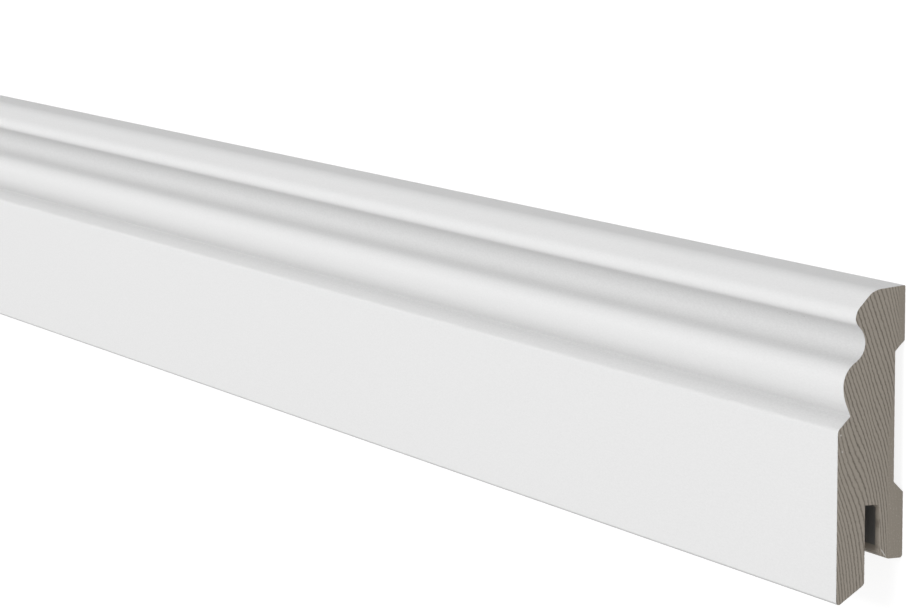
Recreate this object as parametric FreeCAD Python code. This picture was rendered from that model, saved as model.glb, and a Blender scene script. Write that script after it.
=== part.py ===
import FreeCAD, Part

import os
from collections import namedtuple
from math import acos, cos, radians, sin, tan

# A length of moulded skirting board, planed from one piece of softwood.
# It lies on its back, as it comes off the pack: X runs along the board, Y from the foot to the
# moulded top edge, and Z from the wall side up to the front face. The origin is under its middle.
# Millimetres and degrees throughout.

# Overall size of the stock
LENGTH = 2400.0
HEIGHT = 80.0
THICKNESS = 19.0

# Top edge, which falls towards the room, and the rounded shoulder in front of it.
# A slope is how steeply a face falls on its way from the wall side to the room: 90 is upright,
# and more is undercut. A flat is the straight stretch of a face between its two roundings.
TOP_SLOPE = 5.5
TOP_BACK_ARRIS = 0.4
SHOULDER_RADIUS = 5.8

# Upper bead: a facet that comes down to the bead's nose, and the nose's underside
FACET_SLOPE = 46.5
FACET_FLAT = 3.5
UPPER_BEAD_RADIUS = 4.3
UNDERCUT_RADIUS = 2.5
UNDERCUT_SLOPE = 135.0
UNDERCUT_FLAT = 0.45

# Cove between the beads
COVE_UPPER_RADIUS = 5.8
COVE_LOWER_RADIUS = 5.3
COVE_LIP_SLOPE = 36.5
COVE_LIP_FLAT = 1.35

# Lower bead, a long ogee that ends in a sharp valley
LOWER_BEAD_RADIUS = 7.1
OGEE_RADIUS = 11.9
OGEE_SLOPE = 112.4
OGEE_FLAT = 2.95

# Valley, and the chamfer that comes out of it to the flat front face
VALLEY_RADIUS = 0.3
CHAMFER_SLOPE = 45.0
CHAMFER_FLAT = 4.0
CHAMFER_ARRIS = 2.0

# Foot: the front leg stands on a thin edge, bevelled up towards the wall
FOOT_BEVEL = 33.5
FOOT_EDGE_RADIUS = 0.8
FRONT_LEG = 8.1
FRONT_LEG_BACK_ARRIS = 1.6

# Clip slot, open downwards between the front leg and the shorter rear leg
SLOT_WIDTH = 4.2
SLOT_CEILING = 24.8
SLOT_CORNER_RADIUS = 1.0
REAR_LEG_CLEARANCE = 10.8
LEAD_IN_WIDTH = 2.6
LEAD_IN_SLOPE = 24.0
LEAD_IN_RADIUS = 1.5
BACK_FOOT_ARRIS = 0.9

# Wall side: an upper and a lower pad that touch the wall, and the relief planed between them
UPPER_PAD_HEIGHT = 13.9
LOWER_PAD_TOP = 27.6
RELIEF_DEPTH = 2.7
RELIEF_SLOPE = 45.0
PAD_ARRIS = 0.3

# Two roundings that meet with no flat between them share an end that is this well placed
SAME_POINT = 1e-6

NODE = "skirting_board"

Corner = namedtuple("Corner", "height depth radius")
Bend = namedtuple("Bend", "radius slope flat")


def slope(degrees):
    """Rise for each millimetre across, of a face that leaves the level by that angle."""
    return tan(radians(degrees))


def overshoot(radius, degrees):
    """How far a sharp edge stands beyond its rounding, between an upright face and one that
    leaves the level by the given angle. The overall height is measured over the rounding."""
    angle = radians(degrees)
    return radius * (tan(angle) + 1.0 / cos(angle) - 1.0)


def moulding():
    """The bends of the moulded face in turn, from the top edge down to the flat front."""
    upright = 90.0
    return [
        Bend(SHOULDER_RADIUS, FACET_SLOPE, FACET_FLAT),
        Bend(UPPER_BEAD_RADIUS, upright, 0.0),
        Bend(UNDERCUT_RADIUS, UNDERCUT_SLOPE, UNDERCUT_FLAT),
        Bend(COVE_UPPER_RADIUS, upright, 0.0),
        Bend(COVE_LOWER_RADIUS, COVE_LIP_SLOPE, COVE_LIP_FLAT),
        Bend(LOWER_BEAD_RADIUS, upright, 0.0),
        Bend(OGEE_RADIUS, OGEE_SLOPE, OGEE_FLAT),
        Bend(VALLEY_RADIUS, CHAMFER_SLOPE, CHAMFER_FLAT),
        Bend(CHAMFER_ARRIS, upright, 0.0),
    ]


def moulded_face():
    """Corners of the top edge and the moulding, from the wall side round to the front face.
    Each bend starts where the flat before it ends, and the last one lies on the front face."""
    bends = moulding()
    slopes = [TOP_SLOPE] + [bend.slope for bend in bends]
    reaches = [
        bend.radius * tan(radians(abs(slopes[i + 1] - slopes[i]) / 2.0))
        for i, bend in enumerate(bends)
    ]
    steps = [(0.0, 0.0)]
    for i, bend in enumerate(bends[:-1]):
        side = reaches[i] + bend.flat + reaches[i + 1]
        out, down = steps[-1]
        angle = radians(bend.slope)
        steps.append((out + side * cos(angle), down + side * sin(angle)))
    sharp_top = HEIGHT + overshoot(TOP_BACK_ARRIS, TOP_SLOPE)
    shoulder_depth = THICKNESS - steps[-1][0]
    shoulder_height = sharp_top - shoulder_depth * slope(TOP_SLOPE)
    corners = [Corner(sharp_top, 0.0, TOP_BACK_ARRIS)]
    for bend, (out, down) in zip(bends, steps):
        corners.append(Corner(shoulder_height - down, shoulder_depth + out, bend.radius))
    return corners


def legs():
    """Corners of the foot, the clip slot and the rear leg, from the front face to the wall side."""
    sharp_foot = -overshoot(FOOT_EDGE_RADIUS, FOOT_BEVEL)
    bevel_top = sharp_foot + FRONT_LEG * slope(FOOT_BEVEL)
    slot_front = THICKNESS - FRONT_LEG
    slot_back = slot_front - SLOT_WIDTH
    lead_in = LEAD_IN_WIDTH * slope(LEAD_IN_SLOPE)
    return [
        Corner(sharp_foot, THICKNESS, FOOT_EDGE_RADIUS),
        Corner(bevel_top, slot_front, FRONT_LEG_BACK_ARRIS),
        Corner(SLOT_CEILING, slot_front, 0.0),
        Corner(SLOT_CEILING, slot_back, SLOT_CORNER_RADIUS),
        Corner(REAR_LEG_CLEARANCE + lead_in, slot_back, LEAD_IN_RADIUS),
        Corner(REAR_LEG_CLEARANCE, slot_back - LEAD_IN_WIDTH, 0.0),
        Corner(REAR_LEG_CLEARANCE, 0.0, BACK_FOOT_ARRIS),
    ]


def wall_side():
    """Corners of the two wall pads and the relief between them, going up the back."""
    chamfer = RELIEF_DEPTH * slope(RELIEF_SLOPE)
    upper_pad_foot = HEIGHT - UPPER_PAD_HEIGHT
    return [
        Corner(LOWER_PAD_TOP, 0.0, PAD_ARRIS),
        Corner(LOWER_PAD_TOP + chamfer, RELIEF_DEPTH, PAD_ARRIS),
        Corner(upper_pad_foot - chamfer, RELIEF_DEPTH, PAD_ARRIS),
        Corner(upper_pad_foot, 0.0, PAD_ARRIS),
    ]


def at_end(corner):
    """The corner's place on the far sawn end, with the board's middle over the origin."""
    return FreeCAD.Vector(-LENGTH / 2.0, corner.height - HEIGHT / 2.0, corner.depth)


def rounding(before, corner, after):
    """Start, middle and end of the arc that rounds a corner and meets both its sides smoothly."""
    here = at_end(corner)
    back = (at_end(before) - here).normalize()
    on = (at_end(after) - here).normalize()
    half_angle = acos(back.dot(on)) / 2.0
    along = corner.radius / tan(half_angle)
    inward = (back + on).normalize()
    middle = here + inward * (corner.radius / sin(half_angle) - corner.radius)
    return here + back * along, middle, here + on * along


def section_face(corners):
    """A flat face inside the corners, each rounded by its own radius."""
    edges = []
    start = reached = None
    for i, corner in enumerate(corners):
        if corner.radius:
            first, middle, last = rounding(corners[i - 1], corner, corners[(i + 1) % len(corners)])
        else:
            first = last = at_end(corner)
        if reached is None:
            start = first
        elif first.isEqual(reached, SAME_POINT):
            first = reached
        else:
            edges.append(Part.LineSegment(reached, first).toShape())
        if corner.radius:
            edges.append(Part.Arc(first, middle, last).toShape())
        reached = last
    edges.append(Part.LineSegment(reached, start).toShape())
    return Part.Face(Part.Wire(edges))


def skirting_board():
    """The whole board: one section, planed along the full length."""
    section = section_face(moulded_face() + legs() + wall_side())
    return section.extrude(FreeCAD.Vector(LENGTH, 0.0, 0.0))


def main():
    """Build the board, write it and print what it measures."""
    os.makedirs("parts", exist_ok=True)
    board = skirting_board()
    board.exportStep(os.path.join("parts", NODE + ".step"))
    box = board.BoundBox
    print(NODE, "valid" if board.isValid() else "not valid", "solids", len(board.Solids))
    print("size", round(box.XLength, 3), round(box.YLength, 3), round(box.ZLength, 3))
    print("lowest", round(box.ZMin, 4), "foot", round(box.YMin, 4), "top", round(box.YMax, 4))
    print("section area", round(board.Volume / LENGTH, 2), "volume", round(board.Volume, 1))


main()
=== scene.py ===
"""Looks of a moulded skirting board length: its finishes, the floor under it, the lamps and the camera.

The board lies on its back. X runs along it to the near sawn end, Y from the foot to the moulded top
edge, and Z from the wall side up to the lacquered front. Places in that frame are metres. The sizes
of the section, of the sawn ends and of the wood's figure are millimetres, measured on the board:
away from its near end, height from its foot and depth from its wall side.
"""

import logging
import math
from dataclasses import dataclass
from enum import IntEnum

import bpy
import numpy as np
from mathutils import Matrix, Vector


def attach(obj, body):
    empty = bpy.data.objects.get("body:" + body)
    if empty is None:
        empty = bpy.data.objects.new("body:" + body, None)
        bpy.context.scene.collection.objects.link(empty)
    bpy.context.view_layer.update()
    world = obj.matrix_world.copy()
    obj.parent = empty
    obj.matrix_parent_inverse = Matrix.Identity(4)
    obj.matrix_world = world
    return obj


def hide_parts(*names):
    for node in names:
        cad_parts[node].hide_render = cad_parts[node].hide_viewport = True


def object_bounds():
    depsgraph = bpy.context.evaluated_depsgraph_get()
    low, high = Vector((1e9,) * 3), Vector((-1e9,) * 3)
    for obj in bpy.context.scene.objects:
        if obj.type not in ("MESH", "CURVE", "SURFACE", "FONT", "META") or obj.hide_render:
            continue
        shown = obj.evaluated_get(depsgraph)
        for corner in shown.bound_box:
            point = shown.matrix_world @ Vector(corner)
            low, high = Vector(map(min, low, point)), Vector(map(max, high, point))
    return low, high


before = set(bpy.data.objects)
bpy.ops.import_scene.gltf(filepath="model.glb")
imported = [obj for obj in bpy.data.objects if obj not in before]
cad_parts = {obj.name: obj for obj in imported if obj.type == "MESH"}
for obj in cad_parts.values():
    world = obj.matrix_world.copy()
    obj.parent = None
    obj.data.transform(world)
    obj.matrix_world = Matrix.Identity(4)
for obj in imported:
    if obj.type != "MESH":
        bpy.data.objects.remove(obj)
cad_low, cad_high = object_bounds()

LOG = logging.getLogger("skirting_board_length")
NODE = "skirting_board"
BODY = "root"
# Each point's openness to the room, from which the lacquer's hollows are painted darker as shade
OPENNESS = "openness_to_room"
MM = 0.001
MICRON = 1e-6
# Millimetres between the ends of two roundings that meet with no flat between them
SAME_POINT = 1e-6

Colour = tuple[float, float, float]
Place = tuple[float, float, float]
# Where a soft edge starts, and where it is full
Edge = tuple[float, float]


class Finish(IntEnum):
    """What a face of the board is finished with, in the order of its material slots."""

    LACQUER = 0
    PLANED = 1
    SAWN = 2


class Value:
    """A number that varies over a surface: one node socket, whose operators add Math nodes."""

    def __init__(self, bench: "Bench", socket: bpy.types.NodeSocket) -> None:
        """Keeps the socket and the bench that it belongs to."""
        self.bench = bench
        self.socket = socket

    def __add__(self, other: "Value | float") -> "Value":
        """This value plus another."""
        return self.bench.math("ADD", self, other)

    def __radd__(self, other: float) -> "Value":
        """A number plus this value."""
        return self.bench.math("ADD", other, self)

    def __sub__(self, other: "Value | float") -> "Value":
        """This value less another."""
        return self.bench.math("SUBTRACT", self, other)

    def __rsub__(self, other: float) -> "Value":
        """A number less this value."""
        return self.bench.math("SUBTRACT", other, self)

    def __mul__(self, other: "Value | float") -> "Value":
        """This value times another."""
        return self.bench.math("MULTIPLY", self, other)

    def __rmul__(self, other: float) -> "Value":
        """A number times this value."""
        return self.bench.math("MULTIPLY", other, self)

    def __truediv__(self, other: "Value | float") -> "Value":
        """This value divided by another."""
        return self.bench.math("DIVIDE", self, other)

    def __neg__(self) -> "Value":
        """This value with its sign changed."""
        return self.bench.math("MULTIPLY", self, -1.0)

    def exp(self) -> "Value":
        """The number e to the power of this value."""
        return self.bench.math("EXPONENT", self)

    def log(self) -> "Value":
        """The natural logarithm of this value."""
        return self.bench.math("LOGARITHM", self, math.e)

    def sine(self) -> "Value":
        """The sine of this value, in radians."""
        return self.bench.math("SINE", self)

    def larger(self, other: "Value | float") -> "Value":
        """The larger of this value and another."""
        return self.bench.math("MAXIMUM", self, other)

    def off_whole(self) -> "Value":
        """How far this value is from the nearest whole number, from 0 to a half."""
        return self.bench.math("PINGPONG", self, 0.5)

    def nearest_whole(self) -> "Value":
        """The whole number nearest to this value."""
        return self.bench.math("ROUND", self)

    def smooth(self, low: float, high: float) -> "Value":
        """A smooth step, which falls where low is above high.

        Args:
            low: The value up to which it is 0.
            high: The value from which it is 1.

        Returns:
            The step.
        """
        if low > high:
            return 1.0 - self.smooth(high, low)
        sockets = {"Value": self, "From Min": low, "From Max": high}
        return self.bench.value("ShaderNodeMapRange", {"interpolation_type": "SMOOTHSTEP"}, sockets)


class Bench:
    """A node tree, and the ways that nodes get into it."""

    def __init__(self, tree: bpy.types.NodeTree) -> None:
        """Takes over a tree and empties it."""
        tree.nodes.clear()
        self.tree = tree

    def node(
        self,
        kind: str,
        settings: dict[str, object] | None = None,
        sockets: dict[int | str, object] | None = None,
    ) -> bpy.types.Node:
        """Adds one node.

        Args:
            kind: The node's type.
            settings: Its properties, which are set before its sockets.
            sockets: A value or a link for each named or numbered input.

        Returns:
            The node.
        """
        made = self.tree.nodes.new(kind)
        for name, setting in (settings or {}).items():
            setattr(made, name, setting)
        for key, value in (sockets or {}).items():
            if isinstance(value, Value):
                self.tree.links.new(value.socket, made.inputs[key])
            else:
                made.inputs[key].default_value = value
        return made

    def value(
        self,
        kind: str,
        settings: dict[str, object] | None = None,
        sockets: dict[int | str, object] | None = None,
        output: int | str = 0,
    ) -> Value:
        """One output of a new node, which takes the same arguments as node does."""
        return Value(self, self.node(kind, settings, sockets).outputs[output])

    def math(self, operation: str, *operands: "Value | float") -> Value:
        """A Math node of one operation on one or two operands."""
        return self.value("ShaderNodeMath", {"operation": operation}, dict(enumerate(operands)))

    def vector(self, x: "Value | float", y: "Value | float", z: "Value | float") -> Value:
        """A vector of three values."""
        return self.value("ShaderNodeCombineXYZ", None, {0: x, 1: y, 2: z})

    def noise(self, place: Value, detail: float = 2.0, roughness: float = 0.5) -> Value:
        """Smooth noise about 0, which changes over one unit of place.

        Args:
            place: Where it is read, as a vector.
            detail: How many finer layers are added.
            roughness: How strong each finer layer is.

        Returns:
            The noise, from a half below 0 to a half above it.
        """
        sockets = {"Vector": place, "Scale": 1.0, "Detail": detail, "Roughness": roughness}
        return self.value("ShaderNodeTexNoise", None, sockets) - 0.5

    def dice(self, value: Value) -> Value:
        """A random number from 0 to 1 for each different value."""
        return self.value("ShaderNodeTexWhiteNoise", {"noise_dimensions": "1D"}, {"W": value})

    def attribute(self, name: str) -> Value:
        """A number that the mesh holds for each of its points."""
        return self.value("ShaderNodeAttribute", {"attribute_name": name}, None, "Fac")

    def blend(
        self,
        mask: "Value | float",
        first: "Value | Colour",
        second: "Value | Colour",
        way: str = "MIX",
    ) -> Value:
        """One colour laid over another.

        Args:
            mask: How much of the second there is, from 0 to 1.
            first: The colour below.
            second: The colour on top.
            way: The Mix node's way of blending the two.

        Returns:
            The colour.
        """
        ends = [colour if isinstance(colour, Value) else (*colour, 1.0) for colour in (first, second)]
        settings = {"data_type": "RGBA", "blend_type": way}
        return self.value("ShaderNodeMix", settings, {0: mask, 6: ends[0], 7: ends[1]}, 2)

    def shade(self, colour: "Value | Colour", factor: Value) -> Value:
        """A colour made darker or lighter by a factor."""
        return self.blend(1.0, colour, self.vector(factor, factor, factor), "MULTIPLY")

    def bump(self, microns: Value) -> Value:
        """A normal for relief whose height is given in microns."""
        return self.value("ShaderNodeBump", None, {"Distance": MICRON, "Height": microns}, "Normal")

    def plain(self, kind: str, grey: float) -> Value:
        """A shader of one grey."""
        return self.value(kind, None, {"Color": (grey, grey, grey, 1.0)})

    def either(self, share: Value, first: Value, second: Value) -> Value:
        """A shader that goes from the first where the share is 0 to the second where it is 1."""
        return self.value("ShaderNodeMixShader", None, {0: share, 1: first, 2: second})

    def seen(self) -> Value:
        """1 for rays of the eye, of a gloss and through glass, and 0 for rays of light."""
        path = self.node("ShaderNodeLightPath")
        camera, glossy, through = (
            Value(self, path.outputs[name])
            for name in ("Is Camera Ray", "Is Glossy Ray", "Is Transmission Ray")
        )
        return camera.larger(glossy).larger(through)


@dataclass(frozen=True)
class Spot:
    """A place on the board in millimetres: away from the near end, height and depth."""

    away: Value
    height: Value
    depth: Value


class Surface(Bench):
    """The node tree of a material of the board, which reads places on the board."""

    def __init__(self, material: bpy.types.Material, board_low: Vector, board_high: Vector) -> None:
        """Takes over a material's nodes.

        Args:
            material: The material.
            board_low: The board's lowest corner, in metres.
            board_high: The board's highest corner, in metres.
        """
        material.use_nodes = True
        super().__init__(material.node_tree)
        where = self.value("ShaderNodeTexCoord", None, None, "Object")
        parts = self.node("ShaderNodeSeparateXYZ", None, {0: where})
        x, y, z = (Value(self, parts.outputs[axis]) for axis in range(3))
        self.spot = Spot(
            away=(board_high.x - x) / MM,
            height=(y - board_low.y) / MM,
            depth=(z - board_low.z) / MM,
        )

    def at(self, away_scale: float, section_scale: float) -> Value:
        """The place on the board as a vector, in grains of these sizes.

        Args:
            away_scale: Millimetres along the board for one unit.
            section_scale: Millimetres across the board for one unit.

        Returns:
            The vector.
        """
        spot = self.spot
        across = (spot.height / section_scale, spot.depth / section_scale)
        return self.vector(spot.away / away_scale, *across)

    def cover(self, colour: Value, roughness: Value, relief: Value, gloss_level: float) -> None:
        """Ends the tree in a Principled shader.

        Args:
            colour: The base colour.
            roughness: The roughness.
            relief: The surface's relief, in microns.
            gloss_level: The level of its gloss, which is the same all over.
        """
        sockets = {
            "Base Color": colour,
            "Roughness": roughness,
            "Normal": self.bump(relief),
            "Specular IOR Level": gloss_level,
        }
        shader = self.value("ShaderNodeBsdfPrincipled", None, sockets)
        self.node("ShaderNodeOutputMaterial", None, {"Surface": shader})


@dataclass(frozen=True)
class Grain:
    """Noise over the board, in grains of a length and a width in millimetres.

    It swings by its strength, and fine is how strong each of its finer layers is. The last three
    say how far it swings a finish: tone its colour, microns its relief and rough its roughness.
    """

    long: float
    wide: float
    detail: float = 2.0
    fine: float = 0.5
    strength: float = 1.0
    tone: float = 0.0
    microns: float = 0.0
    rough: float = 0.0

    def on(self, surface: Surface) -> Value:
        """The noise on a surface, about 0."""
        return surface.noise(surface.at(self.long, self.wide), self.detail, self.fine) * self.strength


@dataclass(frozen=True)
class Swell:
    """A soft swelling in the growth rings, such as a branch leaves in the wood beside it."""

    rings: float
    height: float
    tall: float
    depth: float
    wide: float

    def number(self, height: Value, depth: Value) -> Value:
        """How many rings it adds: its rings times e to minus the squared distance from its middle."""
        up, out = (height - self.height) / self.tall, (depth - self.depth) / self.wide
        return (-(up * up) - out * out).exp() * self.rings


@dataclass(frozen=True)
class GrowthRings:
    """The growth rings that the section cuts through, and how they wander along the board.

    A ring leans over as it rises. With c the depth less lean * bend * ln(1 + e ** ((height -
    upright) / bend)), the ring number is first + c / width + spread * c * c, and the swells. Away
    from the near end the rings shift by the slant of the grain and by a slow wander, which is read
    along another line of the noise for the depth than for the height.
    """

    first: float = 13.225
    lean: float = 0.399
    upright: float = 21.1
    bend: float = 16.9
    width: float = 1.017
    spread: float = 0.00733
    swells: tuple[Swell, ...] = (
        Swell(rings=1.65, height=30.4, tall=20.4, depth=9.3, wide=4.3),
        Swell(rings=-1.88, height=34.9, tall=13.2, depth=19.9, wide=6.1),
        Swell(rings=-0.77, height=44.6, tall=15.5, depth=8.6, wide=2.1),
        Swell(rings=-2.6, height=84.0, tall=20.0, depth=0.0, wide=3.2),
        Swell(rings=-1.2, height=49.5, tall=7.0, depth=0.0, wide=3.2),
        Swell(rings=-2.4, height=12.0, tall=10.5, depth=0.0, wide=4.2),
    )
    slant_height: float = 0.0032
    slant_depth: float = 0.0021
    wander_height: float = 7.0
    wander_depth: float = 3.0
    wander_length: float = 430.0
    other_line: tuple[float, float] = (7.0, 3.0)
    settled: float = 400.0

    def number(self, surface: Surface) -> Value:
        """The ring number at each place, a whole number in the middle of each dark line.

        Args:
            surface: The surface that the rings show on.

        Returns:
            The ring number.
        """
        spot = surface.spot
        loose = spot.away.smooth(0.0, self.settled)
        along = spot.away / self.wander_length
        aside = surface.vector(along, *self.other_line)
        up = surface.noise(surface.vector(along, 0.0, 0.0), 1.0) * (2.0 * self.wander_height) * loose
        out = surface.noise(aside, 1.0) * (2.0 * self.wander_depth) * loose
        height = spot.height + spot.away * self.slant_height + up
        depth = spot.depth + spot.away * self.slant_depth + out
        risen = (((height - self.upright) / self.bend).exp() + 1.0).log()
        c = depth - risen * (self.lean * self.bend)
        number = c / self.width + c * c * self.spread + self.first
        for swell in self.swells:
            number = number + swell.number(height, depth)
        return number


@dataclass(frozen=True)
class Fleck:
    """A small pale mark on the near sawn end: a torn fibre, a speck of lacquer, or a painted highlight
    on a broken arris.

    It is whole inside the share full of its squared size, and has gone at the distance gone from
    the end.
    """

    height: float
    depth: float
    long: float
    wide: float
    turn: float = 0.0
    full: float = 0.3
    gone: float = 2.0

    def mask(self, surface: Surface) -> Value:
        """1 inside the fleck and 0 outside it.

        Args:
            surface: The sawn end.

        Returns:
            The mask, by the distance from an ellipse that is turned from upright.
        """
        up = surface.spot.height - self.height
        out = surface.spot.depth - self.depth
        cosine, sine = math.cos(math.radians(self.turn)), math.sin(math.radians(self.turn))
        along = (up * cosine + out * sine) / self.long
        across = (out * cosine - up * sine) / self.wide
        near = surface.spot.away.smooth(self.gone, self.gone / 2.0)
        return (along * along + across * across).smooth(1.0, self.full) * near


@dataclass(frozen=True)
class Pinhole:
    """A pinhole that a bubble left in the lacquer, dark inside the share full of its radius."""

    away: float
    height: float
    depth: float
    radius: float = 0.16
    full: float = 0.4

    def mask(self, surface: Surface) -> Value:
        """1 inside the pinhole and 0 outside it.

        Args:
            surface: The lacquer.

        Returns:
            The mask, by the distance from the hole's middle.
        """
        spot = surface.spot
        off = (spot.away - self.away, spot.height - self.height, spot.depth - self.depth)
        squared = off[0] * off[0] + off[1] * off[1] + off[2] * off[2]
        return squared.smooth(self.radius ** 2, (self.full * self.radius) ** 2)


@dataclass(frozen=True)
class Lacquer:
    """White satin lacquer, sprayed over the planed moulding.

    In the hollows, which see less of the room round them, its colour is darker, as painted shade,
    and its powdery speckle is stronger: the darkening grows from none to its fullest as the share
    of the room that a point doesn't see goes from just below none to an upper share. A fine grey
    line is also painted along the thin edge of the foot, as painted shade of its rounding.
    """

    white: Colour = (0.883, 0.883, 0.883)
    # The painted shade of the hollows: how much darker, and between which unseen shares it grows
    hollow_shade_depth: float = 0.277
    shade_from: float = -0.052
    shade_to: float = 0.366
    # A grey line painted along the foot's rounded edge, as painted shade of that rounding
    foot_edge: float = 0.9
    foot_edge_shade_depth: float = 0.48
    roughness: float = 0.5
    gloss_level: float = 0.2
    powder: Grain = Grain(1.1, 0.45, detail=1.0, fine=0.7, tone=0.08, rough=0.05)
    hollow_powder: float = 0.1
    cloud: Grain = Grain(90.0, 30.0, tone=0.008, rough=0.06)
    peel: Grain = Grain(1.3, 1.3, detail=1.0, microns=3.2)
    fibre: Grain = Grain(45.0, 0.5, microns=2.4)
    hole: Colour = (0.10, 0.095, 0.09)
    hole_microns: float = 60.0
    pinholes: tuple[Pinhole, ...] = (
        Pinhole(away=63.8, height=69.38, depth=12.59),
        Pinhole(away=38.4, height=69.38, depth=12.59),
        Pinhole(away=37.2, height=69.04, depth=12.35),
        Pinhole(away=29.4, height=69.38, depth=12.59),
    )

    def dress(self, surface: Surface) -> None:
        """Gives a surface this finish.

        Args:
            surface: The surface.
        """
        powder, cloud = self.powder.on(surface), self.cloud.on(surface)
        # Painted shade: darker where a point sees less of the room round it, and along the foot's edge
        unseen = 1.0 - surface.attribute(OPENNESS)
        hollow_shade_share = unseen.smooth(self.shade_from, self.shade_to)
        drawn = surface.spot.height.smooth(self.foot_edge, 0.0)
        film = (1.0 - hollow_shade_share * self.hollow_shade_depth) * (1.0 - drawn * self.foot_edge_shade_depth)
        speckle = powder * (hollow_shade_share * self.hollow_powder + self.powder.tone)
        tone = (speckle + cloud * self.cloud.tone + 1.0) * film
        holes = sum(pinhole.mask(surface) for pinhole in self.pinholes)
        colour = surface.blend(holes, surface.shade(self.white, tone), self.hole)
        ripple = sum(grain.on(surface) * grain.microns for grain in (self.peel, self.fibre))
        relief = ripple - holes * self.hole_microns
        roughness = cloud * self.cloud.rough + powder * self.powder.rough + self.roughness
        surface.cover(colour, roughness, relief, self.gloss_level)


@dataclass(frozen=True)
class Softwood:
    """The colours of the wood, and how the dark lines of its late wood are drawn."""

    early: Colour
    middle: Colour
    late: Colour
    early_edge: Edge = (0.08, 0.36)
    line_width_squared: float = 0.017
    faintest_line: float = 0.72
    line_variety: float = 0.3
    waver: Grain = Grain(20.0, 1.3, fine=0.75, strength=0.6)
    breaks: Grain = Grain(3.0, 0.45, detail=1.0, strength=1.1)

    def colour(self, surface: Surface, number: Value, contrast: Value | float) -> tuple[Value, Value]:
        """The wood's colour by its growth rings.

        Across a ring the late wood is e to minus the squared distance from its line, divided by
        the line's squared width. Each line has a strength of its own, and breaks up a little along
        itself.

        Args:
            surface: The surface.
            number: The ring number.
            contrast: How clearly the rings show, from 0 to 1.

        Returns:
            The colour, and how much of it is late wood.
        """
        number = number + self.waver.on(surface)
        off = number.off_whole()
        strength = surface.dice(number.nearest_whole()) * self.line_variety + self.faintest_line
        broken = self.breaks.on(surface) + 1.0
        late = (-(off * off) / self.line_width_squared).exp() * strength * broken * contrast
        early = off.smooth(*self.early_edge) * contrast
        colour = surface.blend(early, self.middle, self.early)
        return surface.blend(late, colour, self.late), late


@dataclass(frozen=True)
class SawnEnd:
    """End grain as a fine saw leaves it, with the rings clear towards the front of the board.

    Towards the wall side the rings are too narrow to tell apart, and the wood is one even tone.
    """

    wood: Softwood = Softwood(
        early=(0.492, 0.442, 0.381),
        middle=(0.43, 0.384, 0.325),
        late=(0.205, 0.182, 0.154),
    )
    clear_top: float = 1.7
    clear_foot: float = 4.3
    top: float = 62.0
    foot: float = 40.0
    ragged: Grain = Grain(2.0, 2.2, strength=0.8)
    fade: Edge = (-0.3, 0.6)
    faintest: float = 0.08
    pores: Grain = Grain(0.5, 0.24, fine=0.7, tone=0.22, microns=22.0, rough=0.1)
    mark_pitch: float = 0.35
    mark_lean: float = 1.6
    mark_length: float = 9.0
    mark_tone: float = 0.07
    mark_microns: float = 10.0
    torn: Colour = (0.80, 0.77, 0.73)
    torn_cover: float = 0.9
    torn_pores: float = 0.4
    torn_microns: float = 25.0
    specks: Grain = Grain(0.5, 0.34, detail=1.0)
    speck_edge: Edge = (0.12, 0.2)
    speck_cover: float = 0.45
    late_microns: float = 14.0
    late_gloss: float = 0.08
    roughness: float = 0.82
    gloss_level: float = 0.2
    flecks: tuple[Fleck, ...] = (
        Fleck(height=43.05, depth=18.05, long=0.3, wide=0.24),
        Fleck(height=38.85, depth=17.65, long=0.32, wide=0.22, turn=20.0),
        Fleck(height=69.9, depth=13.1, long=0.2, wide=0.18),
        # This fleck is a painted highlight: the pale streak where the lead-in's broken arris catches
        # the light
        Fleck(height=12.4, depth=5.55, long=1.65, wide=0.2, turn=36.0),
    )

    def dress(self, surface: Surface, rings: GrowthRings) -> None:
        """Gives a surface this finish.

        Args:
            surface: The surface.
            rings: The growth rings.
        """
        spot = surface.spot
        number = rings.number(surface)
        lower = spot.height.smooth(self.top, self.foot)
        limit = lower * (self.clear_foot - self.clear_top) + self.clear_top
        contrast = (spot.depth - limit + self.ragged.on(surface)).smooth(*self.fade)
        shown = contrast * (1.0 - self.faintest) + self.faintest
        colour, late = self.wood.colour(surface, number, shown)
        pores = self.pores.on(surface)
        specks = self.specks.on(surface).smooth(*self.speck_edge) * (1.0 - contrast)
        across = spot.height / self.mark_pitch + spot.depth / self.mark_lean
        marks = surface.noise(surface.vector(across, spot.depth / self.mark_length, 0.0))
        tone = pores * self.pores.tone + marks * self.mark_tone + 1.0
        colour = surface.blend(specks * self.speck_cover, surface.shade(colour, tone), self.torn)
        # The flecks: torn fibres and specks, and one painted highlight on the lead-in's arris
        torn = sum(fleck.mask(surface) for fleck in self.flecks)
        colour = surface.blend(torn * (pores * self.torn_pores + self.torn_cover), colour, self.torn)
        relief = late * self.late_microns + pores * self.pores.microns
        relief = relief + marks * self.mark_microns + torn * self.torn_microns
        roughness = self.roughness - late * self.late_gloss + pores * self.pores.rough
        surface.cover(colour, roughness, relief, self.gloss_level)


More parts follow.
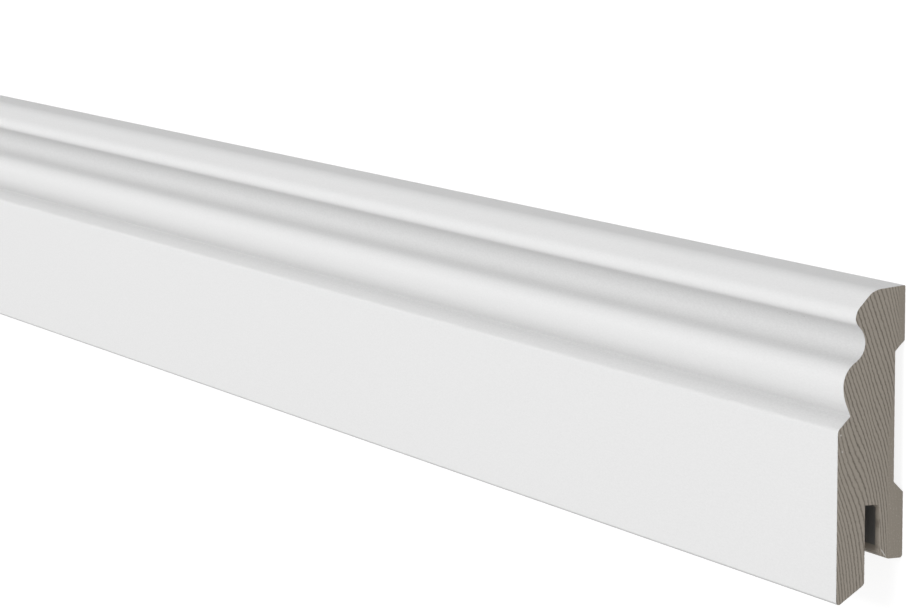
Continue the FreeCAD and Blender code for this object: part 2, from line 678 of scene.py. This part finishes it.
@dataclass(frozen=True)
class PlanedWood:
    """Long grain as the planer leaves it, bare on the wall side, in the slot and behind the foot."""

    wood: Softwood = Softwood(
        early=(0.52, 0.468, 0.402),
        middle=(0.46, 0.41, 0.347),
        late=(0.30, 0.262, 0.214),
    )
    contrast: float = 0.9
    year_pace: float = 0.4
    uneven_years: float = 1.5
    fibre: Grain = Grain(14.0, 0.16, detail=3.0, fine=0.65, tone=0.22, microns=16.0, rough=0.12)
    tracheids: Grain = Grain(2.4, 0.07, detail=1.0, tone=0.08)
    late_microns: float = 9.0
    cutter_pitch: float = 1.7
    cutter_start: float = 0.6
    cutter_waver: float = 1.2
    cutter_microns: float = 1.1
    ragged: Grain = Grain(1.2, 1.2, detail=3.0, fine=0.6, strength=1.6)
    overspray: Colour = (0.80, 0.80, 0.79)
    top_mist: Edge = (0.9, 0.3)
    foot_mist: Edge = (1.3, 0.8)
    foot_mist_slope: float = 0.3
    # Painted shadow: dark grey painted deep in the clip slot. The three lengths after it are where the
    # slot is left lit: above its mouth, from the near end, and more of it by the ceiling
    slot_shade_colour: Colour = (0.21, 0.207, 0.201)
    lit_mouth: float = 3.3
    lit_end: float = 2.1
    lit_corner: float = 1.3
    # Painted light: a pale colour painted on the slot's sides just above its mouth, where light reaches
    # in from outside, with its share and how far up it reaches
    mouth_light_colour: Colour = (0.86, 0.79, 0.70)
    mouth_light_share: float = 0.75
    mouth_light_reach: float = 4.5
    mouth_edge: float = 0.15
    mouth_ragged: float = 0.1
    end_edge: float = 0.3
    end_ragged: float = 0.3
    past_wall: Edge = (0.2, 0.05)
    past_mouth: float = 0.2
    past_ceiling: Edge = (0.3, 0.1)
    roughness: float = 0.7
    late_gloss: float = 0.1
    mist_gloss: float = 0.15
    gloss_level: float = 0.25

    def dress(self, surface: Surface, rings: GrowthRings, section: "Section") -> None:
        """Gives a surface this finish.

        Args:
            surface: The surface.
            rings: The growth rings.
            section: The section, whose lacquered edges have a little overspray beside them.
        """
        spot = surface.spot
        number = rings.number(surface)
        years = surface.noise(surface.vector(number * self.year_pace, 0.0, 0.0), 1.0)
        colour, late = self.wood.colour(surface, number + years * self.uneven_years, self.contrast)
        fibre, ragged = self.fibre.on(surface), self.ragged.on(surface)
        tone = fibre * self.fibre.tone + self.tracheids.on(surface) * self.tracheids.tone + 1.0
        colour = surface.shade(colour, tone)
        below_top = section.height - spot.height + ragged
        behind = section.thickness - spot.depth
        off_foot = spot.height + behind * self.foot_mist_slope + ragged
        in_slot = self.in_slot(surface, section)
        up_slot = spot.height - section.rear_leg_clearance
        # Painted light in the slot's mouth, fading out a few millimetres up
        mouth = in_slot * up_slot.smooth(self.mouth_light_reach, 0.0) * self.mouth_light_share
        mist = below_top.smooth(*self.top_mist).larger(off_foot.smooth(*self.foot_mist))
        colour = surface.blend(mist, colour, self.overspray)
        colour = surface.blend(mouth, colour, self.mouth_light_colour)
        # Painted shadow deep in the slot
        colour = surface.blend(in_slot * self.slot_shade_share(surface, section, ragged), colour, self.slot_shade_colour)
        turned = spot.away * (2.0 * math.pi / self.cutter_pitch) + self.cutter_start
        cutter = (turned + fibre * self.cutter_waver).sine()
        relief = late * self.late_microns + fibre * self.fibre.microns + cutter * self.cutter_microns
        gloss = late * self.late_gloss + mist * self.mist_gloss
        roughness = self.roughness - gloss + fibre * self.fibre.rough
        surface.cover(colour, roughness, relief, self.gloss_level)

    def in_slot(self, surface: Surface, section: "Section") -> Value:
        """Which faces lie in the clip slot.

        Args:
            surface: The surface.
            section: The section, which has the slot.

        Returns:
            The mask: 1 on the slot's sides and ceiling, and 0 outside it.
        """
        spot = surface.spot
        half = section.slot_width / 2.0
        across = spot.depth - (section.thickness - section.front_leg - half)
        between = (across * across).smooth(*((half + past) ** 2 for past in self.past_wall))
        mouth = section.rear_leg_clearance
        above_mouth = spot.height.smooth(mouth - self.past_mouth, mouth)
        below_top = spot.height.smooth(*(section.slot_ceiling + past for past in self.past_ceiling))
        return between * above_mouth * below_top

    def slot_shade_share(self, surface: Surface, section: "Section", ragged: Value) -> Value:
        """How much painted shadow lies deep in the clip slot.

        Args:
            surface: The surface.
            section: The section, which has the slot.
            ragged: Noise that makes the shadow's edge uneven, in millimetres.

        Returns:
            The mask: 1 deep in the slot, and 0 at its mouth and at the near end.
        """
        spot = surface.spot
        mouth = section.rear_leg_clearance + self.lit_mouth
        up = spot.height + ragged * self.mouth_ragged
        deep = up.smooth(mouth - self.mouth_edge, mouth + self.mouth_edge)
        corner = spot.height.smooth(section.slot_ceiling - self.lit_corner, section.slot_ceiling)
        inward = spot.away - corner * self.lit_end + ragged * self.end_ragged
        return deep * inward.smooth(self.lit_end - self.end_edge, self.lit_end + self.end_edge)


@dataclass(frozen=True)
class Bend:
    """A rounding of the moulded face, the slope that it turns to and the flat that comes after."""

    radius: float
    slope: float
    flat: float


@dataclass(frozen=True)
class Corner:
    """A corner of the section before it is rounded, and the finish of the side that leaves it."""

    height: float
    depth: float
    radius: float
    finish: Finish

    def place(self) -> np.ndarray:
        """Height and depth as an array."""
        return np.array([self.height, self.depth])


@dataclass(frozen=True)
class Outline:
    """The rounded section as one closed run of points, from the top's back arris round the front.

    points holds their height and depth, finishes the finish of the side that leaves each point,
    outward the direction out of the wood there, and travelled the way to each, with the whole
    way round at its end.
    """

    points: np.ndarray
    finishes: np.ndarray
    outward: np.ndarray
    travelled: np.ndarray

    def openness_to_room(self, settled: float, sagged: float, recess: float) -> np.ndarray:
        """How open each point of the moulded face is to the room round it, from 0 to 1.

        With angles from the room towards the top, a point sees out between the lowest direction
        to any point above it and the highest direction to any point below it, each at most 90
        degrees from its own normal n. The share is half of sin(above - n) + sin(n - below). What a
        point doesn't see is times 1 + recess * its distance behind the front face. The shares are
        then smoothed: each is the mean of those around the place that lies sagged before it, weighed
        by the outline's length there times e to minus half of (the way between / settled) squared.
        The lacquer paints its hollows darker where the share is low, as painted shade.

        Args:
            settled: The width of the smoothing along the outline, in millimetres.
            sagged: How far the smoothing is shifted towards the foot, in millimetres.
            recess: How much more of the room is unseen for each millimetre behind the front face.

        Returns:
            The share at each point, and 1 at all points that aren't lacquered.
        """
        last = int(np.flatnonzero(self.finishes == Finish.LACQUER)[-1]) + 1
        height, depth = self.points[:last].T
        rise, out = height[None] - height[:, None], depth[None] - depth[:, None]
        angle = np.arctan2(rise, out)
        normal = np.arctan2(*self.outward[:last].T)
        order = np.arange(last)
        after = order[None] > order[:, None]
        before = order[None] < order[:, None]
        above = np.where(before, angle, np.inf).min(1)
        below = np.where(after, angle, -np.inf).max(1)
        above = np.minimum(above - normal, np.pi / 2.0)
        below = np.minimum(normal - below, np.pi / 2.0)
        unseen = 1.0 - (np.sin(above) + np.sin(below)) / 2.0
        unseen = unseen * (1.0 + recess * (depth.max() - depth))
        way = self.travelled[:last]
        between = way[None] - way[:, None] + sagged
        weights = np.exp(-0.5 * (between / settled) ** 2) * np.gradient(way)
        reach = np.ones(len(self.points))
        reach[:last] = 1.0 - weights @ unseen / weights.sum(1)
        return reach


@dataclass(frozen=True)
class Section:
    """The board's section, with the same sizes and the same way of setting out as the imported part.

    A slope is how steeply a face falls on its way from the wall side to the room: 90 is upright,
    and more is undercut.
    """

    height: float
    thickness: float
    top_slope: float = 5.5
    top_back_arris: float = 0.4
    moulding: tuple[Bend, ...] = (
        Bend(radius=5.8, slope=46.5, flat=3.5),
        Bend(radius=4.3, slope=90.0, flat=0.0),
        Bend(radius=2.5, slope=135.0, flat=0.45),
        Bend(radius=5.8, slope=90.0, flat=0.0),
        Bend(radius=5.3, slope=36.5, flat=1.35),
        Bend(radius=7.1, slope=90.0, flat=0.0),
        Bend(radius=11.9, slope=112.4, flat=2.95),
        Bend(radius=0.3, slope=45.0, flat=4.0),
        Bend(radius=2.0, slope=90.0, flat=0.0),
    )
    foot_bevel: float = 33.5
    foot_edge_radius: float = 0.8
    front_leg: float = 8.1
    front_leg_back_arris: float = 1.6
    slot_width: float = 4.2
    slot_ceiling: float = 24.8
    slot_corner_radius: float = 1.0
    rear_leg_clearance: float = 10.8
    lead_in_width: float = 2.6
    lead_in_slope: float = 24.0
    lead_in_radius: float = 1.5
    back_foot_arris: float = 0.9
    upper_pad_height: float = 13.9
    lower_pad_top: float = 27.6
    relief_depth: float = 2.7
    relief_slope: float = 45.0
    pad_arris: float = 0.3
    arc_step: float = 3.0
    side_step: float = 0.25

    @staticmethod
    def rise(degrees: float) -> float:
        """Rise for each millimetre across, of a face that leaves the level by that angle."""
        return math.tan(math.radians(degrees))

    @staticmethod
    def overshoot(radius: float, degrees: float) -> float:
        """How far a sharp edge stands beyond its rounding, between an upright and a sloped face."""
        angle = math.radians(degrees)
        return radius * (math.tan(angle) + 1.0 / math.cos(angle) - 1.0)

    def moulded_face(self) -> list[Corner]:
        """Corners of the top edge and the moulding, from the wall side round to the flat front.

        Returns:
            The corners. Each bend starts where the flat before it ends, and the last one lies on
            the front face.
        """
        slopes = [self.top_slope] + [bend.slope for bend in self.moulding]
        reaches = [
            bend.radius * self.rise(abs(after - before) / 2.0)
            for bend, before, after in zip(self.moulding, slopes, slopes[1:])
        ]
        steps = [(0.0, 0.0)]
        for bend, reach, next_reach in zip(self.moulding, reaches, reaches[1:]):
            side, angle = reach + bend.flat + next_reach, math.radians(bend.slope)
            steps.append((steps[-1][0] + side * math.cos(angle), steps[-1][1] + side * math.sin(angle)))
        sharp_top = self.height + self.overshoot(self.top_back_arris, self.top_slope)
        shoulder_depth = self.thickness - steps[-1][0]
        shoulder_height = sharp_top - shoulder_depth * self.rise(self.top_slope)
        corners = [Corner(sharp_top, 0.0, self.top_back_arris, Finish.LACQUER)]
        for bend, (out, down) in zip(self.moulding, steps):
            at = (shoulder_height - down, shoulder_depth + out)
            corners.append(Corner(*at, bend.radius, Finish.LACQUER))
        return corners

    def legs(self) -> list[Corner]:
        """Corners of the foot, the clip slot and the rear leg, from the front to the wall side."""
        sharp_foot = -self.overshoot(self.foot_edge_radius, self.foot_bevel)
        bevel_top = sharp_foot + self.front_leg * self.rise(self.foot_bevel)
        slot_front = self.thickness - self.front_leg
        slot_back = slot_front - self.slot_width
        mouth = self.rear_leg_clearance + self.lead_in_width * self.rise(self.lead_in_slope)
        places = (
            (sharp_foot, self.thickness, self.foot_edge_radius),
            (bevel_top, slot_front, self.front_leg_back_arris),
            (self.slot_ceiling, slot_front, 0.0),
            (self.slot_ceiling, slot_back, self.slot_corner_radius),
            (mouth, slot_back, self.lead_in_radius),
            (self.rear_leg_clearance, slot_back - self.lead_in_width, 0.0),
            (self.rear_leg_clearance, 0.0, self.back_foot_arris),
        )
        return [Corner(*place, Finish.PLANED) for place in places]

    def wall_side(self) -> list[Corner]:
        """Corners of the two wall pads and the relief between them, going up the back."""
        chamfer = self.relief_depth * self.rise(self.relief_slope)
        upper_pad_foot = self.height - self.upper_pad_height
        places = (
            (self.lower_pad_top, 0.0),
            (self.lower_pad_top + chamfer, self.relief_depth),
            (upper_pad_foot - chamfer, self.relief_depth),
            (upper_pad_foot, 0.0),
        )
        return [Corner(*place, self.pad_arris, Finish.PLANED) for place in places]

    def rounded(self, before: Corner, corner: Corner, after: Corner) -> np.ndarray:
        """Points of the arc that rounds a corner and meets both its sides smoothly.

        With h half the angle between the sides, inward its bisector and across the direction at
        right angles to that, the arc's middle is at corner + inward * radius / sin(h), and its
        points are middle + radius * (across * sin(p) - inward * cos(p)), for p from h - 90 degrees
        to 90 degrees - h.

        Args:
            before: The corner before.
            corner: The corner to round.
            after: The corner after.

        Returns:
            Their heights and depths, or those of the corner itself where it is sharp.
        """
        here = corner.place()
        if not corner.radius:
            return here[None]
        back, on = (
            (other.place() - here) / np.linalg.norm(other.place() - here) for other in (before, after)
        )
        half = math.acos(float(back @ on)) / 2.0
        inward = (back + on) / np.linalg.norm(back + on)
        across = (on - back) / np.linalg.norm(on - back)
        steps = 2 * max(1, round(math.degrees(math.pi / 2.0 - half) / self.arc_step))
        p = np.linspace(half - math.pi / 2.0, math.pi / 2.0 - half, steps + 1)[:, None]
        middle = here + inward * corner.radius / math.sin(half)
        return middle + corner.radius * (across * np.sin(p) - inward * np.cos(p))

    def outline(self) -> Outline:
        """Rounds every corner, and fills in the straight sides with even steps.

        The finish changes in the middle of the arc between two sides. The direction out of the
        wood is at right angles to the line between a point's neighbours.

        Returns:
            The outline.
        """
        corners = self.moulded_face() + self.legs() + self.wall_side()
        runs, finishes = [], []
        for i, corner in enumerate(corners):
            before, after = corners[i - 1], corners[(i + 1) % len(corners)]
            arc = self.rounded(before, corner, after)
            following = self.rounded(corner, after, corners[(i + 2) % len(corners)])
            gap = float(np.linalg.norm(following[0] - arc[-1]))
            share = np.linspace(0.0, 1.0, max(1, math.ceil(gap / self.side_step)) + 1)[1:-1, None]
            side = arc[-1] + (following[0] - arc[-1]) * share
            run = arc[:-1] if gap < SAME_POINT else np.concatenate([arc, side])
            runs.append(run)
            first = np.arange(len(run)) < len(arc) // 2
            finishes.append(np.where(first, before.finish, corner.finish))
        points = np.concatenate(runs)
        chord = np.roll(points, -1, 0) - np.roll(points, 1, 0)
        outward = np.stack([chord[:, 1], -chord[:, 0]], 1)
        sides = np.linalg.norm(np.roll(points, -1, 0) - points, axis=1)
        return Outline(
            points=points,
            finishes=np.concatenate(finishes),
            outward=outward / np.linalg.norm(outward, axis=1)[:, None],
            travelled=np.concatenate([[0.0], np.cumsum(sides)]),
        )


def stand(name: str, data: bpy.types.ID) -> bpy.types.Object:
    """Makes an object and stands it in the scene.

    Args:
        name: The object's name.
        data: Its mesh, lamp or camera.

    Returns:
        The object.
    """
    made = bpy.data.objects.new(name, data)
    bpy.context.scene.collection.objects.link(made)
    return made


@dataclass(frozen=True)
class SawCut:
    """The uneven arris that the saw leaves round each end, and the lacquer's thickness there."""

    lacquered_arris: float = 0.03
    bare_arris: float = 0.06
    film: float = 0.02
    waves: tuple[float, ...] = (0.55, 0.8, 1.3, 2.7)
    depth: float = 0.5
    least: float = 0.33
    seed: int = 11

    def arris(self, outline: Outline, end: int) -> np.ndarray:
        """How wide the broken edge is at each point of the outline, in millimetres.

        It is the finish's arris times 1 + depth * the sum of sines along the outline, one for each
        wave, at random starts, and never less than a least share of the arris.

        Args:
            outline: The outline.
            end: Which end it is, for a different start.

        Returns:
            The widths.
        """
        starts = np.random.default_rng(self.seed + end).uniform(0.0, 2.0 * np.pi, len(self.waves))
        around = outline.travelled[-1]
        turns = 2.0 * np.pi * np.round(around / np.array(self.waves)) / around
        swing = np.sin(outline.travelled[:-1, None] * turns + starts).sum(1) * self.depth
        base = np.where(outline.finishes == Finish.LACQUER, self.lacquered_arris, self.bare_arris)
        return base * np.maximum(1.0 + swing, self.least)


@dataclass(frozen=True)
class BakeMap:
    """Where the board's faces lie on its texture map: a strip for the length, and both ends."""

    name: str = "OFBake"
    margin: float = 0.008
    strip: tuple[float, float] = (0.01, 0.5)
    near: tuple[float, float] = (0.52, 0.75)
    far: tuple[float, float] = (0.76, 0.99)


@dataclass
class Board:
    """The skirting board: its section carried along its length, sawn off at both ends."""

    low: Vector
    high: Vector
    section: Section
    cut: SawCut
    map: BakeMap
    stations: int = 25
    # How the openness behind the lacquer's painted shade is smoothed, shifted towards the foot and
    # deepened behind the front face
    settled: float = 0.38
    sagged: float = 0.33
    recess: float = 0.068
    sharp_from: float = 20.0

    def build(self) -> bpy.types.Object:
        """Makes the board's mesh.

        The surface is a grid. One way it goes round the outline, and the other way along the
        board, in rows. A row is the outline, set in from its own line and at its own place along
        the board: the rows run from the lacquer's inner edge on the far end, over that end's
        broken edge, along the board, and the same way over the near end. One flat face closes the
        wood on each end.

        Returns:
            The board as an object.
        """
        outline = self.section.outline()
        away, inset = self._rows(outline)
        across = outline.points - inset[..., None] * outline.outward
        x = self.high.x - away * MM
        y = self.low.y + across[..., 0] * MM
        z = self.low.z + across[..., 1] * MM
        mesh = bpy.data.meshes.new("skirting_length")
        rows, around = away.shape
        self._fill(mesh, np.stack([x, y, z], -1).reshape(-1, 3), rows, around)
        mesh.polygons.foreach_set("material_index", self._finishes(outline, rows))
        # Each point's openness to the room, which the lacquer turns into painted shade in its hollows
        reach = mesh.attributes.new(OPENNESS, "FLOAT", "POINT")
        sprayed = outline.openness_to_room(self.settled, self.sagged, self.recess)
        reach.data.foreach_set("value", np.tile(sprayed, rows).astype(np.float32))
        self._lay_out(mesh, outline, across, rows)
        mesh.polygons.foreach_set("use_smooth", np.ones(len(mesh.polygons), bool))
        mesh.set_sharp_from_angle(angle=math.radians(self.sharp_from))
        mesh.update()
        return stand("skirting_length", mesh)

    def _rows(self, outline: Outline) -> tuple[np.ndarray, np.ndarray]:
        """Each row's distance from the near end, and how far it is set in, in millimetres.

        Args:
            outline: The outline.

        Returns:
            Two arrays, with a row for each row and a column for each point of the outline.
        """
        length = (self.high.x - self.low.x) / MM
        flat = np.zeros(len(outline.points))
        near, far = self.cut.arris(outline, 0), self.cut.arris(outline, 1)
        inner = np.linspace(length, 0.0, self.stations)[1:-1]
        away = [flat + length, flat + length, length - far]
        inset = [far + self.cut.film, far, flat]
        away += [flat + station for station in inner] + [near, flat, flat]
        inset += [flat for _ in inner] + [flat, near, near + self.cut.film]
        return np.stack(away), np.stack(inset)

    @staticmethod
    def _fill(mesh: bpy.types.Mesh, vertices: np.ndarray, rows: int, around: int) -> None:
        """Puts the grid into the mesh, with a flat face on its first and on its last row.

        Args:
            mesh: The mesh.
            vertices: The grid's points, in metres.
            rows: How many rows it has.
            around: How many points a row has.
        """
        index = np.arange(rows * around).reshape(rows, around)
        after = np.roll(index, -1, 1)
        quads = np.stack([index[:-1], after[:-1], after[1:], index[1:]], -1).reshape(-1, 4)
        corners = np.concatenate([quads.ravel(), index[0, ::-1], index[-1]])
        starts = np.append(np.arange(0, quads.size + 1, 4), quads.size + around)
        mesh.vertices.add(len(vertices))
        mesh.vertices.foreach_set("co", vertices.astype(np.float32).ravel())
        mesh.loops.add(len(corners))
        mesh.loops.foreach_set("vertex_index", corners.astype(np.int32))
        mesh.polygons.add(len(starts))
        mesh.polygons.foreach_set("loop_start", starts.astype(np.int32))
        mesh.update(calc_edges=True)

    @staticmethod
    def _finishes(outline: Outline, rows: int) -> np.ndarray:
        """The finish of each face: the outline's on the length, and sawn wood inside the lacquer.

        Args:
            outline: The outline.
            rows: How many rows the grid has.

        Returns:
            The material slot of each face.
        """
        length = np.tile(outline.finishes, (rows - 1, 1))
        lacquered = outline.finishes == Finish.LACQUER
        length[[0, 1, -2, -1]] = np.where(lacquered, Finish.LACQUER, Finish.SAWN)
        return np.append(length.ravel(), [Finish.SAWN, Finish.SAWN]).astype(np.int32)

    def _lay_out(self, mesh: bpy.types.Mesh, outline: Outline, across: np.ndarray, rows: int) -> None:
        """Lays the faces out on the texture map.

        The length lies as one strip, u by the row and v by the way round the outline. Each end
        lies as it is, with its height along u and its depth along v.

        Args:
            mesh: The mesh.
            outline: The outline.
            across: Height and depth of the grid's points.
            rows: How many rows the grid has.
        """
        margin, wide = self.map.margin, 1.0 - 2.0 * self.map.margin
        share = np.linspace(0.0, 1.0, rows - 4)
        u = np.concatenate([[0.0, 0.0], margin + wide * share, [1.0, 1.0]])[:, None]
        low, high = self.map.strip
        v = (low + (high - low) * outline.travelled / outline.travelled[-1])[None]
        grid = np.stack(np.broadcast_arrays(u, v), -1)
        corners = np.stack([grid[:-1, :-1], grid[:-1, 1:], grid[1:, 1:], grid[1:, :-1]], 2)
        size = np.array([self.section.height, self.section.thickness])
        far, near = (
            np.array([margin, low]) + across[pair] / size * np.array([wide, high - low])
            for pair, (low, high) in (([0, 1], self.map.far), ([-2, -1], self.map.near))
        )
        for row, (first, second) in ((0, far), (-1, near)):
            around = (first, np.roll(first, -1, 0), np.roll(second, -1, 0), second)
            corners[row] = np.stack(around, 1)
        places = np.concatenate([corners.reshape(-1, 2), far[0, ::-1], near[1]])
        layer = mesh.uv_layers.new(name=self.map.name)
        layer.uv.foreach_set("vector", places.astype(np.float32).ravel())

    def dress(self, board: bpy.types.Object) -> None:
        """Gives each face of the board its finish.

        Args:
            board: The board.
        """
        rings, surfaces = GrowthRings(), {}
        for finish in Finish:
            material = bpy.data.materials.new(finish.name.lower() + "_softwood")
            board.data.materials.append(material)
            surfaces[finish] = Surface(material, self.low, self.high)
        Lacquer().dress(surfaces[Finish.LACQUER])
        PlanedWood().dress(surfaces[Finish.PLANED], rings, self.section)
        SawnEnd().dress(surfaces[Finish.SAWN], rings)


@dataclass(frozen=True)
class Floor:
    """A plain white floor that keeps the board's shadow, and that sends little light back up."""

    half_width: float = 12.0
    seen_glow: float = 0.86
    seen_colour: float = 0.3
    lit_colour: float = 0.35
    near: float = 1.6
    far: float = 2.6

    def build(self) -> bpy.types.Object:
        """Makes the floor.

        To the eye it is a lit surface near the board, which shows the shadow, and plain white
        further out. For rays of light it is a dull one.

        Returns:
            The floor as an object.
        """
        reach = self.half_width
        mesh = bpy.data.meshes.new("floor")
        corners = [(x * reach, y * reach, 0.0) for x, y in ((-1, -1), (1, -1), (1, 1), (-1, 1))]
        mesh.from_pydata(corners, [], [(0, 1, 2, 3)])
        material = bpy.data.materials.new("floor_white")
        mesh.materials.append(material)
        material.use_nodes = True
        bench = Bench(material.node_tree)
        where = bench.value("ShaderNodeTexCoord", None, None, "Object")
        distance = bench.value("ShaderNodeVectorMath", {"operation": "LENGTH"}, {0: where}, "Value")
        shadowed = bench.plain("ShaderNodeBsdfDiffuse", self.seen_colour)
        glow = bench.plain("ShaderNodeEmission", self.seen_glow)
        near = bench.value("ShaderNodeAddShader", None, {0: shadowed, 1: glow})
        white = bench.plain("ShaderNodeEmission", 1.0)
        seen = bench.either(distance.smooth(self.near, self.far), near, white)
        lit = bench.plain("ShaderNodeBsdfDiffuse", self.lit_colour)
        surface = bench.either(bench.seen(), lit, seen)
        bench.node("ShaderNodeOutputMaterial", None, {"Surface": surface})
        return stand("floor", mesh)


@dataclass(frozen=True)
class Surround:
    """The white room round the board: white to the eye, and dimmer as a light."""

    light: float = 0.43

    def build(self) -> bpy.types.World:
        """Makes the world.

        Returns:
            The world, which is set as the scene's.
        """
        world = bpy.data.worlds.new("white_room")
        world.use_nodes = True
        bench = Bench(world.node_tree)
        dim, bright = (
            bench.value("ShaderNodeBackground", None, {"Strength": light, "Color": (1.0,) * 4})
            for light in (self.light, 1.0)
        )
        mixed = bench.either(bench.seen(), dim, bright)
        bench.node("ShaderNodeOutputWorld", None, {"Surface": mixed})
        bpy.context.scene.world = world
        return world


@dataclass(frozen=True)
class Lamp:
    """A soft rectangular lamp that faces a place on the board.

    Its long side lies along the board, or across it where it faces the board end on: where the
    part of its direction that runs along the board is end_on or more.
    """

    name: str
    watts: float
    place: Place
    long: float
    wide: float
    faces: Place
    end_on: float = 0.9

    def build(self) -> bpy.types.Object:
        """Makes the lamp.

        Returns:
            The lamp as an object.
        """
        light = bpy.data.lights.new(self.name, "AREA")
        light.shape = "RECTANGLE"
        light.energy = self.watts
        light.size = self.long
        light.size_y = self.wide
        lamp = stand(self.name, light)
        back = (Vector(self.place) - Vector(self.faces)).normalized()
        side = Vector((1.0, 0.0, 0.0) if abs(back.x) < self.end_on else (0.0, 1.0, 0.0))
        up = back.cross(side).normalized()
        axes = Matrix((up.cross(back), up, back)).transposed().to_4x4()
        lamp.matrix_world = Matrix.Translation(self.place) @ axes
        lamp.visible_camera = False
        return lamp


@dataclass(frozen=True)
class PictureCamera:
    """The camera, held so that the board's height stands upright in the picture.

    It looks along the board from past its near end, turned towards the wall side and tipped down
    towards the foot.
    """

    place: Place = (2.1595, 0.1701, 0.5613)
    turned: float = 24.57
    tipped: float = 7.0
    focal_length_px: float = 4450.0
    picture_width_px: float = 920.0
    sensor_width: float = 36.0
    sees_to: float = 100.0

    def build(self) -> bpy.types.Object:
        """Makes the camera.

        Returns:
            The camera, which is set as the scene's.
        """
        data = bpy.data.cameras.new("picture_camera")
        data.sensor_fit = "HORIZONTAL"
        data.sensor_width = self.sensor_width
        data.lens = self.sensor_width * self.focal_length_px / self.picture_width_px
        data.clip_end = self.sees_to
        turned, tipped = math.radians(self.turned), math.radians(self.tipped)
        level = Vector((-math.cos(turned), 0.0, -math.sin(turned)))
        height = Vector((0.0, 1.0, 0.0))
        forward = level * math.cos(tipped) - height * math.sin(tipped)
        right = forward.cross(height).normalized()
        axes = Matrix((right, right.cross(forward), -forward)).transposed().to_4x4()
        camera = stand("picture_camera", data)
        camera.matrix_world = Matrix.Translation(self.place) @ axes
        bpy.context.scene.camera = camera
        return camera


LAMPS = (
    Lamp("key", watts=13.0, place=(0.0, 0.36, 1.25), long=3.9, wide=0.5, faces=(0.0, 0.0, 0.0)),
    Lamp("near_key", watts=3.3, place=(1.45, 0.36, 1.25), long=1.0, wide=0.5, faces=(1.45, 0.0, 0.0)),
    Lamp("near_fill", watts=3.6, place=(2.6, -0.2, 0.25), long=0.8, wide=0.8, faces=(1.2, 0.0, 0.0)),
    Lamp("far_fill", watts=3.6, place=(-2.6, -0.2, 0.25), long=0.8, wide=0.8, faces=(-1.2, 0.0, 0.0)),
)


def main() -> None:
    """Builds the board, dresses it and sets it in its white room."""
    logging.basicConfig(level=logging.INFO, format="%(message)s")
    scene = bpy.context.scene
    scene.view_settings.view_transform = "Standard"
    size = (cad_high - cad_low) / MM
    section = Section(height=size.y, thickness=size.z)
    maker = Board(cad_low, cad_high, section, SawCut(), BakeMap())
    board = maker.build()
    maker.dress(board)
    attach(board, BODY)
    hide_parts(NODE)
    faces = len(board.data.polygons)
    LOG.info("%s: %d faces, section %.1f x %.1f mm", board.name, faces, size.y, size.z)
    floor = Floor().build()
    LOG.info("%s: the board lies on it", floor.name)
    for lamp in LAMPS:
        LOG.info("%s: %.1f W", lamp.build().name, lamp.watts)
    LOG.info("%s: white to the eye", Surround().build().name)
    LOG.info("%s: %.1f mm lens", PictureCamera().build().name, scene.camera.data.lens)


if __name__ == "__main__":
    main()
